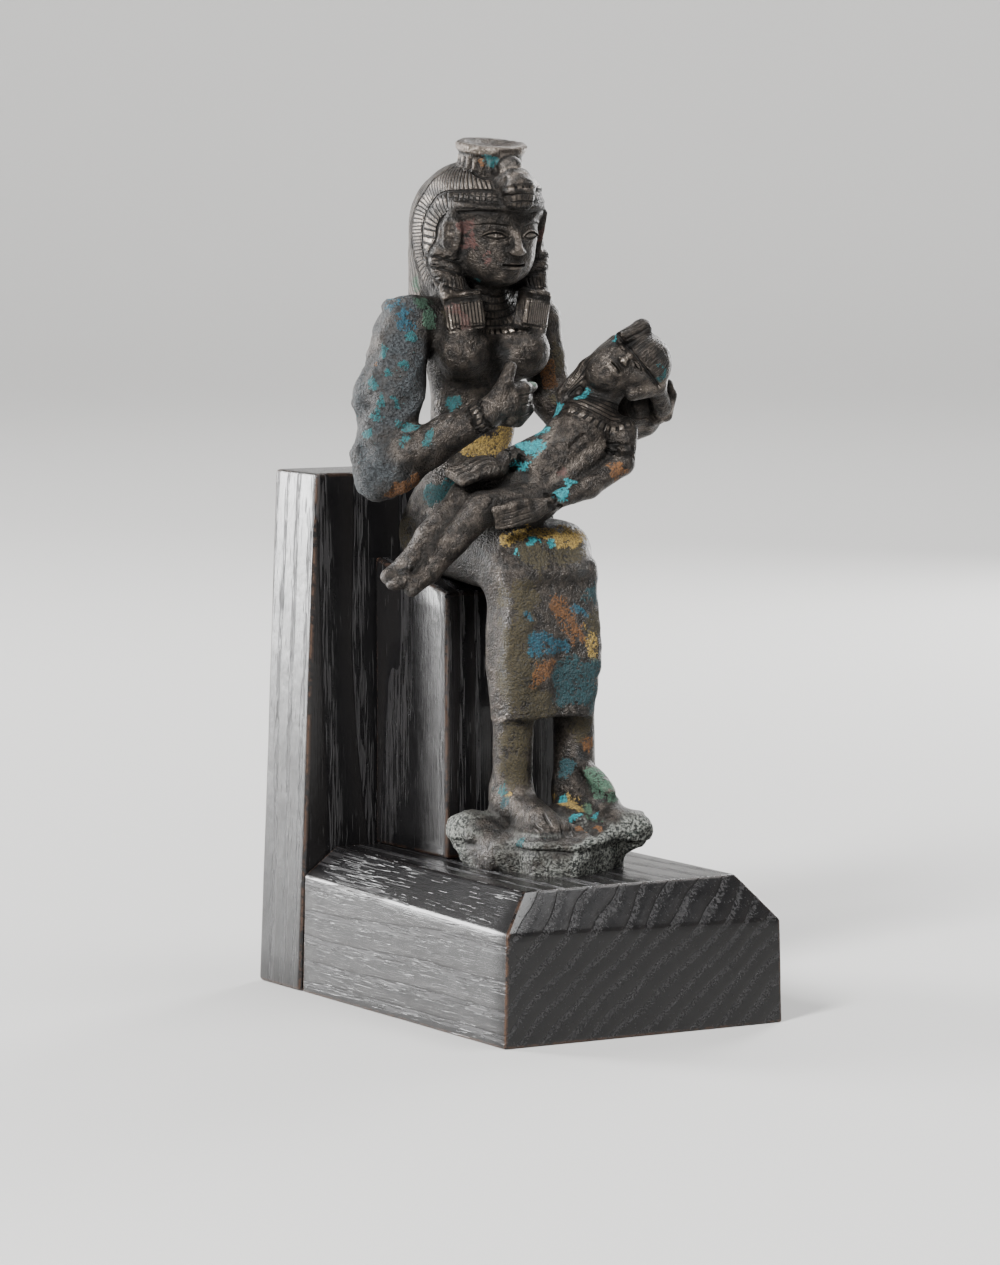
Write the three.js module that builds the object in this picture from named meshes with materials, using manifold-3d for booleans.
// Isis nursing the child Horus: a small cast bronze, worn and crusted, seated on a black wooden stand.
// The stand is a chamfered base block, a tall back board and a seat post between them.
// Millimetres, +Z up, the sitter looks towards -Y. The origin is at the middle of the stand's underside.
import * as THREE from "three";
import Module from "manifold-3d";

const wasm = await Module();
wasm.setup();

// Driving dimensions of the stand
const BASE_WIDTH = 61;
const BASE_DEPTH = 79;
const BASE_HEIGHT = 28.6;
const BASE_FLARE = 1;
const CHAMFER_SIDE = 7;
const CHAMFER_FRONT = 5.6;
const CHAMFER_LOW_BACK = 23.2; // height of the hand-cut chamfer's lower edge at the back corners
const CHAMFER_LOW_LEFT = 21.5; // and at the two front corners
const CHAMFER_LOW_RIGHT = 20;
const BOARD_WIDTH = 63;
const BOARD_TOP_WIDTH = 54.5;
const BOARD_THICKNESS = 17;
const BOARD_HEIGHT = 102.8;
const BOARD_GAP = 0.5; // open joint between the base and the board
const POST_WIDTH = 28.4;
const POST_DEPTH = 28.2;
const POST_GAP = 0.3; // between the post and the board behind it
const EDGE_ROUND = 0.8; // worn edges of the wood

// Driving dimensions of the bronze
const FIGURE_HEIGHT = 140;
const SEAT_CLEARANCE = 0.3; // between the bronze and the post that it sits on
const FIGURE_TRIANGLES = 8800;

const BASE_FRONT = -(BASE_DEPTH + BOARD_GAP + BOARD_THICKNESS) / 2;
const BASE_BACK = BASE_FRONT + BASE_DEPTH;
const BOARD_FRONT = BASE_BACK + BOARD_GAP;
const BOARD_BACK = BOARD_FRONT + BOARD_THICKNESS;
const POST_BACK = BOARD_FRONT - POST_GAP;
const POST_FRONT = POST_BACK - POST_DEPTH;

// The bronze is laid out on a scale of 140 units to its full height.
const UNITS = 140;
const UNIT = FIGURE_HEIGHT / UNITS;
const SEAT_FRONT = 52.4 * UNIT; // height of the seat above the sole, at the post's front
const SEAT_BACK = 57.4 * UNIT;
const SEAT_DEPTH = 11 * UNIT; // from the post's front back to the body's axis

const POST_FRONT_HEIGHT = BASE_HEIGHT + SEAT_FRONT;
const POST_BACK_HEIGHT = BASE_HEIGHT + SEAT_BACK;
const FIGURE_BACK = POST_FRONT + SEAT_DEPTH;

const still = [0, 0, 0];

// Clay: each form is a function of x, y, z that gives the distance to its surface, negative inside.
const clamp = (v, low, high) => Math.min(high, Math.max(low, v));
const mix = (a, b, t) => a + (b - a) * t;

// A rounded limb from a to b, its radius running from ra to rb.
function limb([ax, ay, az], [bx, by, bz], ra, rb) {
  const dx = bx - ax;
  const dy = by - ay;
  const dz = bz - az;
  const length2 = dx * dx + dy * dy + dz * dz;
  return (x, y, z) => {
    const t = clamp(((x - ax) * dx + (y - ay) * dy + (z - az) * dz) / length2, 0, 1);
    return Math.hypot(x - ax - t * dx, y - ay - t * dy, z - az - t * dz) - mix(ra, rb, t);
  };
}

// Puts a form into a frame turned by degrees about X, then Y, then Z, with its middle at a place.
function placed(form, [cx, cy, cz], turn = [0, 0, 0]) {
  const euler = new THREE.Euler(...turn.map(THREE.MathUtils.degToRad), "ZYX");
  const m = new THREE.Matrix4().makeRotationFromEuler(euler).transpose().elements;
  return (x, y, z) => {
    const px = x - cx;
    const py = y - cy;
    const pz = z - cz;
    return form(
      m[0] * px + m[4] * py + m[8] * pz,
      m[1] * px + m[5] * py + m[9] * pz,
      m[2] * px + m[6] * py + m[10] * pz,
    );
  };
}

// An egg with three half-axes; a power above 2 makes it squarer.
function egg(centre, [rx, ry, rz], turn, power = 2) {
  const raise = (v) => Math.abs(v) ** power;
  return placed(
    (x, y, z) => {
      const sum = raise(x / rx) + raise(y / ry) + raise(z / rz);
      if (sum < 1e-9) return -Math.min(rx, ry, rz);
      const k = sum ** (1 / power);
      const slope = (v, r) => (Math.abs(v / r) / k) ** (power - 1) / r;
      return (k - 1) / Math.hypot(slope(x, rx), slope(y, ry), slope(z, rz));
    },
    centre,
    turn,
  );
}

// A block with rounded edges.
function slab(centre, [hx, hy, hz], round, turn) {
  return placed(
    (x, y, z) => {
      const qx = Math.abs(x) - hx + round;
      const qy = Math.abs(y) - hy + round;
      const qz = Math.abs(z) - hz + round;
      const outside = Math.hypot(Math.max(qx, 0), Math.max(qy, 0), Math.max(qz, 0));
      return outside + Math.min(Math.max(qx, qy, qz), 0) - round;
    },
    centre,
    turn,
  );
}

// Joins forms with a soft fillet about k wide.
function join(k, ...forms) {
  return (x, y, z) => {
    let d = forms[0](x, y, z);
    for (let i = 1; i < forms.length; i++) {
      const e = forms[i](x, y, z);
      const h = Math.max(k - Math.abs(d - e), 0) / k;
      d = Math.min(d, e) - (h * h * k) / 4;
    }
    return d;
  };
}

// Cuts a tool out of a form, softening the edge by k.
function carve(k, form, tool) {
  return (x, y, z) => {
    const d = form(x, y, z);
    const e = -tool(x, y, z);
    const h = Math.max(k - Math.abs(d - e), 0) / k;
    return Math.max(d, e) + (h * h * k) / 4;
  };
}

// Soft lumps about size wide, between -1 and 1, from three crossed waves.
function lumps(x, y, z, size) {
  const w = (2 * Math.PI) / size;
  const a = Math.sin(w * x + 1.3 * Math.sin(w * 0.63 * z + 0.4)) * Math.cos(w * 0.81 * y + 0.9);
  const b = Math.sin(w * 0.74 * y + 1.1 * Math.sin(w * 0.9 * x + 2.1)) * Math.cos(w * 0.95 * z);
  const c = Math.sin(w * 0.88 * z + 1.7 * Math.sin(w * 0.7 * y + 0.2)) * Math.cos(w * 0.6 * x);
  return (a + b + c) / 2;
}

const HEAD_TILT = 8; // degrees the head leans forward
const NECK_PIVOT = [0, 0, 110];

// Wig, vulture cap, face, and the cup on top that carried a crown, in an upright head turned at the neck.
function head() {
  const at = (x, y, z) => [x, y, z - NECK_PIVOT[2]];
  const wig = join(
    3,
    egg(at(0, 4.4, 121.9), [12.1, 12.2, 12.1], still, 2.3),
    slab(at(0, 5.6, 113.8), [9.4, 8.2, 7], 5),
    slab(at(0, 11.5, 107), [8.4, 4, 11], 3),
  );
  const face = join(
    1.4,
    egg(at(0, -3.4, 122.4), [8.6, 8.8, 8.4]),
    egg(at(0, -5.4, 118), [7.4, 6.8, 5.9]),
    egg(at(0, -9.4, 115.6), [3.1, 2.9, 2.3]),
    limb(at(0, -11.5, 124), at(0, -13.5, 120.4), 0.8, 1.3),
    limb(at(-1.6, -11.3, 117.6), at(1.6, -11.3, 117.6), 0.9, 0.9),
  );
  const hollow = egg(at(0, -11.5, 111), [7.6, 8.2, 8.2]);
  const cap = egg(at(0, 0.8, 128), [11.2, 11.8, 7.6], still, 2.2);
  const brow = egg(at(0, -0.4, 128.4), [10.2, 11.4, 1.5], still, 2.3);
  const ears = [-1, 1].map((s) =>
    egg(at(s * 9.6, -4.4, 122.6), [1.4, 2.1, 4.5], [0, s * 6, -s * 30]),
  );
  const uraeus = join(
    1.2,
    egg(at(0, -12.6, 132.4), [3.3, 3, 3]),
    slab(at(0, -10.4, 131.6), [2.9, 3.4, 4], 1.6, [-22, 0, 0]),
    egg(at(0, -7.9, 136.2), [2.4, 2.4, 2]),
  );
  const cup = (x, y, z) => {
    const h = z - (132 - NECK_PIVOT[2]);
    const rise = clamp(h / 7.2, 0, 1);
    const radius = 6.1 + 0.5 * (2 * rise - 1) ** 2 + 0.5 * clamp((h - 5.4) / 0.7, 0, 1);
    const side = Math.hypot(x, y + 0.1) - radius;
    const dish = Math.hypot(x, y + 0.1, h - 18.7) - 12.3;
    return Math.max(side, h - 7.6, -h - 1, -dish) * 0.85;
  };
  const upright = join(1, join(0.8, carve(1, wig, hollow), cap, brow), face, ...ears, uraeus, cup);
  return placed(upright, NECK_PIVOT, [HEAD_TILT, 0, 0]);
}

// Front locks of the wig, which lie on the chest.
function lappets() {
  return [-1, 1].map((s) =>
    join(
      1.5,
      slab([s * 7.8, -6.9, 106.6], [3.8, 1.8, 3.9], 0.9, [4, s * 8, s * 23]),
      limb([s * 10.2, -2.6, 116.6], [s * 9, -5, 111], 3.4, 2.8),
    ),
  );
}

function torso() {
  return join(
    4,
    egg([0, 2, 99], [11.2, 7.2, 11]),
    egg([0, 2.8, 86], [9.1, 6.1, 14]),
    egg([0, 3, 68], [12.6, 9.8, 11]),
    limb([-14.2, 1.6, 104.6], [13.8, 1.6, 104.4], 4.7, 4.5),
    limb([0, 0, 106], [0, -2.6, 115], 4.8, 4.3),
  );
}

function breasts() {
  return [egg([-6.6, -4.8, 98.9], [5.4, 4.6, 5.2]), egg([6.8, -5, 98.4], [5.4, 4.9, 5.4])];
}

// The knees and the long skirt: two thighs under one cloth, then a flat-fronted shaft down to the hem.
function skirt() {
  const thighs = [-1, 1].map((s) => limb([s * 6.2, 5, 62.5], [s * 5.4, -21.3, 58.4], 8.2, 6.2));
  const shaft = (x, y, z) => {
    const rise = clamp((z - 28) / 10, 0, 1);
    const wide = mix(9.5, 10.9, rise) - clamp((z - 46) / 12, 0, 1);
    const deep = mix(5.3, 6, rise);
    const round = 3.4;
    const qx = Math.abs(x - 0.4) - wide + round;
    const qy = Math.abs(y + 23.4) - deep + round;
    const side = Math.hypot(Math.max(qx, 0), Math.max(qy, 0)) + Math.min(Math.max(qx, qy), 0) - round;
    const crown = Math.hypot(Math.max(side + 4, 0), Math.max(z - 55, 0)) - 4;
    return Math.max(side, crown, 28.5 - z);
  };
  const knees = egg([7, -19.5, 61.2], [5, 5.6, 4.2]);
  const groove = egg([1.2, -29.8, 34], [2, 1.2, 8]);
  return carve(2, join(2, join(4, shaft, ...thighs, egg([0, -18, 62], [8.4, 8, 4])), knees), groove);
}

function legs() {
  const right = join(
    2,
    limb([-5.6, -22.6, 34], [-5.7, -21.8, 14], 4.1, 3.8),
    limb([-5.9, -21.4, 14], [-6.2, -20.6, 8.5], 3.9, 3.6),
    limb([-5.9, -24, 11.5], [-4.6, -37, 7.8], 3.9, 2.6),
    slab([-4.9, -33.8, 6.7], [5.3, 7.2, 1.9], 1.5, [-4, 0, 6]),
  );
  const left = join(
    2,
    limb([7.7, -22.6, 34], [8.7, -21.6, 14], 4, 4.1),
    limb([8.7, -21.6, 14], [8.4, -20.6, 9], 4.1, 3.8),
    limb([8.4, -23, 13], [9.4, -31, 10.8], 4, 3.6),
    egg([9.4, -35.2, 8], [3.9, 4.4, 3.6]),
  );
  return [right, left];
}

// The footrest is a broken lump under the feet. Its front is a slanting break, a lobe is left over
// at its left corner, and a low mound fills the space between the feet.
function footrest() {
  const lump = join(
    2.2,
    slab([0.2, -31, 2.6], [11.8, 19.5, 4.1], 1.2),
    egg([-13.2, -19.4, 6.4], [4.8, 6, 4.2]),
    egg([-12.2, -24, 3], [4.2, 9, 4.4]),
  );
  const lobe = egg([12.2, -35.4, 7], [4.9, 5, 4]);
  const front = slab([7.4, -50.5, 4], [30, 10, 14], 1, [9, 0, 31]);
  const corner = slab([-22.2, -47.8, 3], [14, 20, 14], 1.5, [0, 0, 40]);
  const undercut = slab([16.5, -36, -2.2], [8, 18, 4], 1, [0, -36, 0]);
  const shape = [front, corner, undercut].reduce((form, tool) => carve(1, form, tool), lump);
  const between = egg([3, -27.5, 9], [4.4, 7, 2.8]);
  const broken = join(2, shape, lobe, between);
  return (x, y, z) => {
    return broken(x, y, z) - 0.3 * lumps(x, y, z, 6.4);
  };
}

// Her right arm bends up to her left breast, thumb raised.
function rightArm() {
  const shoulder = [-15.6, 1.6, 104.2];
  const middle = [-20.4, -0.3, 91];
  const elbow = [-23, -2.2, 76.2];
  const wrist = [-9, -16, 86.5];
  const arm = join(
    2.5,
    limb(shoulder, middle, 5.3, 6),
    limb(middle, elbow, 6, 5.5),
    limb(elbow, wrist, 5.5, 3),
  );
  const hand = join(
    1.2,
    limb([-8.6, -16.4, 87], [-4, -17, 88.6], 2.8, 2.8),
    egg([-3, -16.8, 88.4], [4.6, 2.3, 3.6], [0, -30, 0]),
    limb([-6.2, -17.3, 91], [-3.2, -16.6, 95.9], 1.6, 1.25),
    slab([-1.2, -16, 88.8], [3.2, 1.4, 3.9], 1.2, [-4, -34, 20]),
  );
  const crusted = (x, y, z) => {
    const where = clamp((-12 - x) / 6, 0, 1);
    return arm(x, y, z) - where * (0.2 + 0.55 * lumps(x, y, z, 8.5));
  };
  return join(1.6, crusted, hand);
}

// Her left arm goes down and forward, and the hand holds the child's head from behind.
function leftArm() {
  const elbow = [20, -5, 80.4];
  const wrist = [27, -17.4, 84.6];
  return join(
    1.6,
    limb([13.6, 1.6, 104], [15.5, -1.5, 89], 4.6, 4.1),
    limb([15.5, -1.5, 89], elbow, 4.1, 3.9),
    limb(elbow, wrist, 3.8, 3),
    egg([27.4, -21.6, 88.6], [2.8, 3.8, 4.8], [0, 0, 20]),
    egg([23.6, -18.6, 88], [4.4, 4, 4.6]),
    limb([26.6, -24, 88], [23.4, -27, 92.6], 2.2, 2),
    limb([23.4, -27, 92.6], [17.6, -27.2, 90.6], 1.9, 1.3),
  );
}

// The child lies across her lap, naked but for a broad collar, one arm along each thigh.
function child() {
  const neck = [15.6, -22.6, 91];
  const chest = [11.6, -21.8, 85];
  const belly = [4.4, -21.6, 77.6];
  const seat = [1, -20.2, 72.4];
  const body = join(
    1.8,
    egg(chest, [6, 5, 5.2], [0, 38, 0]),
    limb(chest, belly, 4.7, 3.9),
    limb(belly, seat, 3.9, 4.4),
    limb([9.4, -18, 87], [17, -25, 83.6], 2.5, 2.7),
    limb([11, -20.4, 79], [3, -21.6, 71.6], 4, 3.6),
    limb([12.6, -24, 80], [4, -25, 73.4], 2.6, 2.3),
    limb([6, -18.8, 84], [-1, -20.6, 77.6], 2, 1.8),
    limb(chest, neck, 3.2, 3),
  );
  const nearArm = join(
    1,
    limb([17.4, -25.4, 83.4], [16, -27, 77.6], 2.8, 2.5),
    limb([15.8, -27, 77.2], [8, -27.8, 73], 2.4, 2.1),
    limb([8, -27.8, 73], [-2.6, -28, 69.8], 2.1, 1.7),
    egg([-7.6, -27.2, 68.9], [5.4, 1.8, 2.4], [0, 6, 0]),
  );
  const farArm = join(
    1,
    limb([9.6, -17.6, 86.6], [7, -17, 82.4], 2.4, 2.2),
    limb([7, -17, 82.4], [-5.8, -19.4, 78.4], 2.1, 1.8),
    egg([-12, -20, 76.5], [6.2, 2.6, 2], [24, 10, 0]),
  );
  const farLeg = join(
    1.2,
    limb([-0.6, -17.8, 73.4], [-13.2, -17, 71.4], 4, 3.1),
    limb([-13.2, -17, 71.4], [-20.4, -15.2, 63.8], 3.1, 2.5),
    limb([-20.4, -15.2, 63.8], [-24.4, -14, 58.6], 2.5, 2),
    limb([-24.4, -14, 58.6], [-28.6, -13.2, 56], 2, 1.6),
  );
  const nearLeg = join(
    1.2,
    limb([0, -22.4, 70.4], [-12.4, -21.8, 69.2], 4, 3.3),
    limb([-12.4, -21.8, 69.2], [-17.4, -19, 62.8], 3.3, 2.7),
    limb([-17.4, -19, 62.8], [-21.2, -17, 57.2], 2.7, 2.1),
    limb([-21.2, -17, 57.2], [-25, -16.6, 54], 2.1, 1.6),
  );
  const sole = egg([-26.6, -15, 55.4], [3.4, 2.6, 1.7], [0, -20, 0]);
  return join(0.8, body, nearArm, farArm, join(0.5, farLeg, nearLeg, sole));
}

function childHead() {
  const skull = egg([19, -24.4, 96.2], [7.6, 5.9, 5.7], [0, -6, -20]);
  const jaw = egg([13.6, -24.6, 94.8], [3.7, 3.6, 3.5]);
  const cap = egg([21.6, -24.8, 96.6], [6.1, 6.4, 6.2], [0, -6, -20]);
  const crest = join(
    1,
    limb([16.4, -26.2, 101.7], [21.4, -25.6, 103.3], 1.3, 1.8),
    limb([21.4, -25.6, 103.3], [22, -25, 101], 1.7, 1.9),
  );
  const sidelock = join(
    1,
    limb([17.4, -22.4, 100.6], [12.4, -20.4, 95.6], 1.5, 1.8),
    limb([12.4, -20.4, 95.6], [9, -17.4, 90.4], 1.8, 2),
  );
  return join(1, skull, jaw, cap, crest, sidelock, egg([13.8, -21.2, 92.4], [3.4, 2.6, 3.4]));
}

// Green crust that has lifted along the instep of her left foot.
function blister() {
  return egg([8.9, -29.6, 16.6], [2.2, 5.6, 1.3], [31, 0, 10]);
}

const bronze = join(
  1.6,
  join(3, torso(), skirt(), ...breasts()),
  ...lappets(),
  head(),
  join(1.4, footrest(), ...legs(), blister()),
  rightArm(),
  leftArm(),
  join(1.2, child(), childHead()),
);

// Meshing: the surface is found on a grid by splitting each cell into six tetrahedra.
const GRID = 1.15;
const REACH = { low: [-34, -54, -3], high: [36, 24, 143] };

function meshOf(form, low, high, step) {
  const count = low.map((v, i) => Math.ceil((high[i] - v) / step) + 1);
  const [nx, ny, nz] = count;
  const index = (i, j, k) => (k * ny + j) * nx + i;
  const value = new Float32Array(nx * ny * nz).fill(NaN);
  const sample = (i, j, k) => {
    const n = index(i, j, k);
    if (Number.isNaN(value[n])) {
      value[n] = form(low[0] + i * step, low[1] + j * step, low[2] + k * step) || 1e-6;
    }
    return value[n];
  };
  // Coarse blocks far from the surface are skipped.
  const block = 4;
  const near = block * step * 1.35;
  const vertices = [];
  const faces = [];
  const made = new Map();
  const corner = [
    [0, 0, 0], [1, 0, 0], [1, 1, 0], [0, 1, 0],
    [0, 0, 1], [1, 0, 1], [1, 1, 1], [0, 1, 1],
  ];
  const tetrahedra = [
    [0, 5, 1, 6], [0, 1, 2, 6], [0, 2, 3, 6],
    [0, 3, 7, 6], [0, 7, 4, 6], [0, 4, 5, 6],
  ];
  const total = nx * ny * nz;
  const cut = (p, q) => {
    const a = p.n < q.n ? p : q;
    const b = p.n < q.n ? q : p;
    const key = a.n * total + b.n;
    if (!made.has(key)) {
      const t = clamp(a.d / (a.d - b.d), 0.06, 0.94);
      made.set(key, vertices.length / 3);
      vertices.push(mix(a.x, b.x, t), mix(a.y, b.y, t), mix(a.z, b.z, t));
    }
    return made.get(key);
  };
  const cell = (i, j, k) => {
    const c = corner.map(([a, b, e]) => ({
      n: index(i + a, j + b, k + e),
      d: sample(i + a, j + b, k + e),
      x: low[0] + (i + a) * step,
      y: low[1] + (j + b) * step,
      z: low[2] + (k + e) * step,
    }));
    const inside = c.filter((p) => p.d < 0).length;
    if (inside === 0 || inside === 8) return;
    for (const t of tetrahedra) {
      const inn = t.filter((n) => c[n].d < 0);
      const out = t.filter((n) => c[n].d >= 0);
      if (!inn.length || !out.length) continue;
      const ring = [];
      if (inn.length === 2) {
        ring.push(cut(c[inn[0]], c[out[0]]), cut(c[inn[0]], c[out[1]]));
        ring.push(cut(c[inn[1]], c[out[1]]), cut(c[inn[1]], c[out[0]]));
      } else {
        for (const p of inn) {
          for (const q of out) ring.push(cut(c[p], c[q]));
        }
      }
      if (!evenOrder(t, [...inn, ...out])) ring.reverse();
      faces.push([ring[0], ring[1], ring[2]]);
      if (ring.length === 4) faces.push([ring[0], ring[2], ring[3]]);
    }
  };
  for (let k = 0; k < nz - 1; k += block) {
    for (let j = 0; j < ny - 1; j += block) {
      for (let i = 0; i < nx - 1; i += block) {
        const middle = [i, j, k].map((n, axis) => low[axis] + (n + block / 2) * step);
        if (Math.abs(form(...middle)) > near) continue;
        for (let c = k; c < Math.min(k + block, nz - 1); c++) {
          for (let b = j; b < Math.min(j + block, ny - 1); b++) {
            for (let a = i; a < Math.min(i + block, nx - 1); a++) {
              cell(a, b, c);
            }
          }
        }
      }
    }
  }
  return { vertices, faces };
}

// Keeps the largest connected body of a mesh, dropping loose crumbs.
function largest({ vertices, faces }) {
  const parent = Int32Array.from({ length: vertices.length / 3 }, (_, n) => n);
  const root = (n) => {
    while (parent[n] !== n) {
      parent[n] = parent[parent[n]];
      n = parent[n];
    }
    return n;
  };
  for (const [a, b, c] of faces) {
    parent[root(a)] = root(b);
    parent[root(b)] = root(c);
  }
  const size = new Map();
  for (const f of faces) size.set(root(f[0]), (size.get(root(f[0])) ?? 0) + 1);
  const [main] = [...size].sort((a, b) => b[1] - a[1])[0];
  return { vertices, faces: faces.filter((f) => root(f[0]) === main) };
}

// Whether one order of four items can be reached from another by an even number of swaps.
function evenOrder(from, to) {
  const order = to.map((v) => from.indexOf(v));
  let swaps = 0;
  for (let a = 0; a < 4; a++) {
    for (let b = a + 1; b < 4; b++) {
      if (order[a] > order[b]) swaps++;
    }
  }
  return swaps % 2 === 0;
}

// Determinant of a matrix given by its three rows.
function det3([a, b, c], [d, e, f], [g, h, i]) {
  return a * (e * i - f * h) - b * (d * i - f * g) + c * (d * h - e * g);
}

// Thins a closed mesh down to a number of triangles, folding first the edges that move the
// surface least.
function thinned({ vertices, faces }, wanted) {
  const count = vertices.length / 3;
  const at = Float64Array.from(vertices);
  const tri = faces.map((f) => [...f]);
  const alive = new Uint8Array(tri.length).fill(1);
  const around = Array.from({ length: count }, () => new Set());
  tri.forEach((f, n) => f.forEach((v) => around[v].add(n)));
  const quadric = Array.from({ length: count }, () => new Float64Array(10));
  const stamp = new Uint32Array(count);
  const gone = new Uint8Array(count);
  const normal = (p, q, r) => {
    const ux = at[3 * q] - at[3 * p];
    const uy = at[3 * q + 1] - at[3 * p + 1];
    const uz = at[3 * q + 2] - at[3 * p + 2];
    const vx = at[3 * r] - at[3 * p];
    const vy = at[3 * r + 1] - at[3 * p + 1];
    const vz = at[3 * r + 2] - at[3 * p + 2];
    return [uy * vz - uz * vy, uz * vx - ux * vz, ux * vy - uy * vx];
  };
  for (const f of tri) {
    const [x, y, z] = normal(...f);
    const l = Math.hypot(x, y, z);
    if (l < 1e-12) continue;
    const a = x / l;
    const b = y / l;
    const c = z / l;
    const d = -(a * at[3 * f[0]] + b * at[3 * f[0] + 1] + c * at[3 * f[0] + 2]);
    const q = [a * a, a * b, a * c, a * d, b * b, b * c, b * d, c * c, c * d, d * d];
    for (const v of f) {
      for (let i = 0; i < 10; i++) quadric[v][i] += q[i] * l;
    }
  }
  const cost = (q, x, y, z) =>
    q[0] * x * x + q[4] * y * y + q[7] * z * z + q[9] +
    2 * (q[1] * x * y + q[2] * x * z + q[3] * x + q[5] * y * z + q[6] * y + q[8] * z);
  const best = (u, v) => {
    const q = new Float64Array(10);
    for (let i = 0; i < 10; i++) q[i] = quadric[u][i] + quadric[v][i];
    const spots = [];
    const det = det3([q[0], q[1], q[2]], [q[1], q[4], q[5]], [q[2], q[5], q[7]]);
    const size = q[0] + q[4] + q[7];
    if (Math.abs(det) > 1e-5 * size ** 3) {
      const x = -det3([q[3], q[1], q[2]], [q[6], q[4], q[5]], [q[8], q[5], q[7]]) / det;
      const y = -det3([q[0], q[3], q[2]], [q[1], q[6], q[5]], [q[2], q[8], q[7]]) / det;
      const z = -det3([q[0], q[1], q[3]], [q[1], q[4], q[6]], [q[2], q[5], q[8]]) / det;
      spots.push([x, y, z]);
    }
    const pu = [at[3 * u], at[3 * u + 1], at[3 * u + 2]];
    const pv = [at[3 * v], at[3 * v + 1], at[3 * v + 2]];
    const far = Math.hypot(pu[0] - pv[0], pu[1] - pv[1], pu[2] - pv[2]);
    const half = pu.map((c, i) => (c + pv[i]) / 2);
    const fit = spots.filter((s) => Math.hypot(s[0] - half[0], s[1] - half[1], s[2] - half[2]) < far);
    fit.push(half, pu, pv);
    let pick = fit[0];
    let low = Infinity;
    for (const s of fit) {
      const e = cost(q, ...s);
      if (e < low - 1e-12) {
        low = e;
        pick = s;
      }
    }
    return { low: Math.max(low, 0) + 1e-4 * far * far, pick };
  };
  // A binary heap of edges by cost.
  const heap = [];
  const push = (item) => {
    heap.push(item);
    let n = heap.length - 1;
    while (n > 0) {
      const up = (n - 1) >> 1;
      if (heap[up].low <= heap[n].low) break;
      [heap[up], heap[n]] = [heap[n], heap[up]];
      n = up;
    }
  };
  const pop = () => {
    const top = heap[0];
    const last = heap.pop();
    if (heap.length) {
      heap[0] = last;
      let n = 0;
      for (;;) {
        const l = 2 * n + 1;
        if (l >= heap.length) break;
        const small = l + 1 < heap.length && heap[l + 1].low < heap[l].low ? l + 1 : l;
        if (heap[n].low <= heap[small].low) break;
        [heap[small], heap[n]] = [heap[n], heap[small]];
        n = small;
      }
    }
    return top;
  };
  const offer = (u, v) => {
    const { low, pick } = best(u, v);
    push({ low, pick, u, v, su: stamp[u], sv: stamp[v] });
  };
  const ring = (v) => {
    const found = new Set();
    for (const n of around[v]) {
      for (const w of tri[n]) found.add(w);
    }
    found.delete(v);
    return found;
  };
  for (const f of tri) {
    for (let i = 0; i < 3; i++) {
      const next = f[(i + 1) % 3];
      if (f[i] < next) offer(f[i], next);
    }
  }
  let left = tri.length;
  while (left > wanted && heap.length) {
    const { pick, u, v, su, sv } = pop();
    if (gone[u] || gone[v] || stamp[u] !== su || stamp[v] !== sv) continue;
    const ru = ring(u);
    const rv = ring(v);
    let shared = 0;
    let corners = false;
    for (const w of ru) {
      if (!rv.has(w)) continue;
      shared++;
      if (around[w].size < 4) corners = true;
    }
    if (shared !== 2 || corners) continue;
    // No face may turn over or shrink to a sliver.
    let sound = true;
    for (const [p, other] of [[u, v], [v, u]]) {
      for (const n of around[p]) {
        const f = tri[n];
        if (f.includes(other)) continue;
        const before = normal(...f);
        const keep = [at[3 * p], at[3 * p + 1], at[3 * p + 2]];
        at.set(pick, 3 * p);
        const after = normal(...f);
        at.set(keep, 3 * p);
        const lb = Math.hypot(...before);
        const la = Math.hypot(...after);
        const dot = before[0] * after[0] + before[1] * after[1] + before[2] * after[2];
        if (la < 0.02 || dot < 0.3 * la * lb) sound = false;
      }
      if (!sound) break;
    }
    if (!sound) continue;
    at.set(pick, 3 * u);
    for (let i = 0; i < 10; i++) quadric[u][i] += quadric[v][i];
    for (const n of [...around[v]]) {
      const f = tri[n];
      if (f.includes(u)) {
        alive[n] = 0;
        left--;
        for (const w of f) around[w].delete(n);
      } else {
        f[f.indexOf(v)] = u;
        around[u].add(n);
      }
    }
    gone[v] = 1;
    stamp[u]++;
    for (const w of ring(u)) offer(u, w);
  }
  return { at, faces: tri.filter((f, n) => alive[n]) };
}

// Turns a thinned mesh into a solid of the boolean kernel.
function solidOf({ at, faces }, scale, shift) {
  const used = new Map();
  const points = [];
  const index = faces.flatMap((f) =>
    f.map((v) => {
      if (!used.has(v)) {
        used.set(v, points.length / 3);
        for (let i = 0; i < 3; i++) points.push(at[3 * v + i] * scale + shift[i]);
      }
      return used.get(v);
    }),
  );
  const mesh = new wasm.Mesh({
    numProp: 3,
    vertProperties: Float32Array.from(points),
    triVerts: Uint32Array.from(index),
  });
  return new wasm.Manifold(mesh);
}

// A block between a lower and an upper outline of the same number of corners.
function blockOf(layers) {
  const n = layers[0].length;
  const points = layers.flat();
  const faces = [];
  for (let l = 0; l < layers.length - 1; l++) {
    for (let i = 0; i < n; i++) {
      const a = l * n + i;
      const b = l * n + ((i + 1) % n);
      faces.push([a, b, b + n], [a, b + n, a + n]);
    }
  }
  const top = (layers.length - 1) * n;
  for (let i = 1; i < n - 1; i++) {
    faces.push([0, i + 1, i], [top, top + i, top + i + 1]);
  }
  return { at: points.flat(), faces };
}

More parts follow.
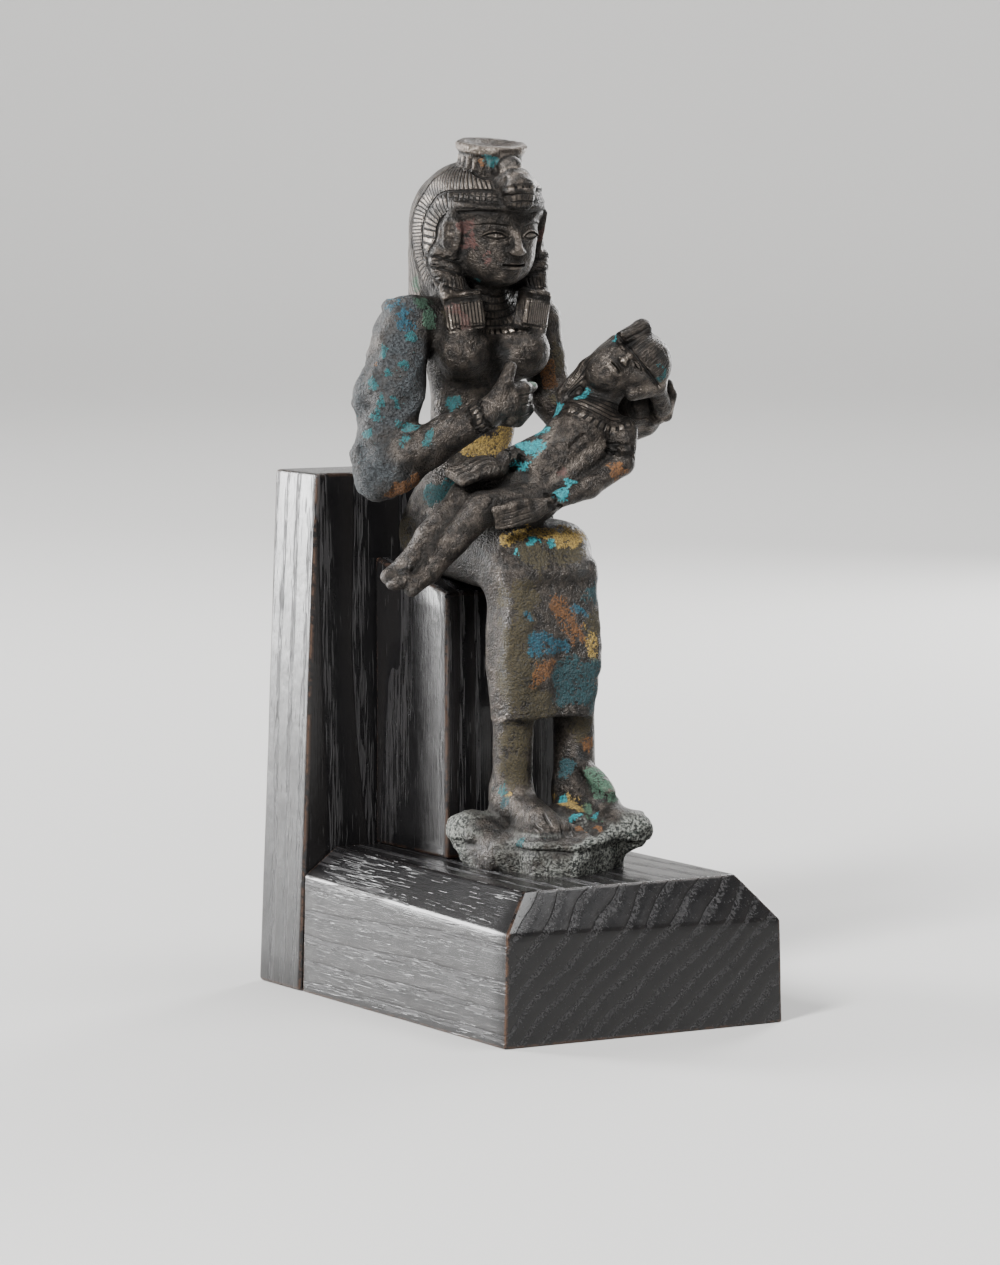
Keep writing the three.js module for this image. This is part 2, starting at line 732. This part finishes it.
// A rectangle with its corners cut by r, anticlockwise from above.
function outline(x0, x1, y0, y1, r, heightAt) {
  return [
    [x0 + r, y0], [x1 - r, y0], [x1, y0 + r], [x1, y1 - r],
    [x1 - r, y1], [x0 + r, y1], [x0, y1 - r], [x0, y0 + r],
  ].map(([x, y]) => [x, y, heightAt(x, y)]);
}

// Base block, with its four chamfered top edges.
function baseSolid() {
  const half = BASE_WIDTH / 2;
  const low = half + BASE_FLARE / 2;
  const topHalf = half - CHAMFER_SIDE;
  const edge = (x, y) => {
    const back = (y - BASE_FRONT) / BASE_DEPTH;
    const front = x < 0 ? CHAMFER_LOW_LEFT : CHAMFER_LOW_RIGHT;
    return mix(front, CHAMFER_LOW_BACK, back);
  };
  return solidOf(
    blockOf([
      outline(-low, low, BASE_FRONT, BASE_BACK, EDGE_ROUND, () => 0),
      outline(-half, half, BASE_FRONT + 0.2, BASE_BACK, EDGE_ROUND, edge),
      outline(-topHalf, topHalf, BASE_FRONT + CHAMFER_FRONT, BASE_BACK, EDGE_ROUND, () => BASE_HEIGHT),
    ]),
    1,
    still,
  );
}

// Back board, narrowing towards its top.
function boardSolid() {
  const low = BOARD_WIDTH / 2;
  const high = BOARD_TOP_WIDTH / 2;
  const top = BOARD_HEIGHT - EDGE_ROUND;
  const inset = (w, e, z) =>
    outline(-w + e, w - e, BOARD_FRONT + e, BOARD_BACK - e, EDGE_ROUND, () => z);
  const layers = [inset(low, 0, 0), inset(high, 0, top), inset(high, EDGE_ROUND, BOARD_HEIGHT)];
  return solidOf(blockOf(layers), 1, still);
}

// Seat post, its top sloping down to the front.
function postTop(y, lift) {
  const t = (y - POST_FRONT) / (POST_BACK - POST_FRONT);
  return mix(POST_FRONT_HEIGHT, POST_BACK_HEIGHT, t) + lift;
}

function postSolid() {
  const half = POST_WIDTH / 2;
  const layer = (e, heightAt) =>
    outline(-half + e, half - e, POST_FRONT + e, POST_BACK - e, EDGE_ROUND, heightAt);
  const layers = [
    layer(0, () => BASE_HEIGHT),
    layer(0, (x, y) => postTop(y, -EDGE_ROUND)),
    layer(EDGE_ROUND, (x, y) => postTop(y, 0)),
  ];
  return solidOf(blockOf(layers), 1, still);
}

// The bronze rests on the base by its flat underside and sits on the post.
function figureSolid() {
  const raw = largest(meshOf(bronze, REACH.low, REACH.high, GRID));
  const thin = thinned(raw, FIGURE_TRIANGLES);
  const whole = solidOf(thin, UNIT, [0, FIGURE_BACK, BASE_HEIGHT]);
  const gap = SEAT_CLEARANCE;
  const wide = POST_WIDTH / 2 + gap;
  const room = solidOf(
    blockOf([
      outline(-wide, wide, POST_FRONT - gap, POST_BACK + 40, EDGE_ROUND, () => -20),
      outline(-wide, wide, POST_FRONT - gap, POST_BACK + 40, EDGE_ROUND, (x, y) => postTop(y, gap)),
    ]),
    1,
    still,
  );
  const kept = whole.trimByPlane([0, 0, 1], BASE_HEIGHT).subtract(room);
  const pieces = kept.decompose().sort((a, b) => b.volume() - a.volume());
  return pieces[0];
}

function meshFrom(solid, name, colour, roughness, metalness) {
  const { vertProperties, triVerts, numProp } = solid.getMesh();
  const position = new Float32Array((vertProperties.length / numProp) * 3);
  for (let i = 0; i < position.length / 3; i++) {
    for (let j = 0; j < 3; j++) position[3 * i + j] = vertProperties[numProp * i + j];
  }
  const geometry = new THREE.BufferGeometry();
  geometry.setAttribute("position", new THREE.BufferAttribute(position, 3));
  geometry.setIndex(new THREE.BufferAttribute(Uint32Array.from(triVerts), 1));
  const material = new THREE.MeshStandardMaterial({ color: colour, roughness, metalness });
  const mesh = new THREE.Mesh(geometry, material);
  mesh.name = name;
  return mesh;
}

const group = new THREE.Group();
group.name = "isis_and_horus_on_stand";
group.add(meshFrom(figureSolid(), "isis_and_horus", 0x3b342c, 0.55, 0.8));
group.add(meshFrom(baseSolid(), "base_block", 0x1c1a18, 0.4, 0));
group.add(meshFrom(boardSolid(), "back_board", 0x1c1a18, 0.4, 0));
group.add(meshFrom(postSolid(), "seat_post", 0x1c1a18, 0.4, 0));

export default group;
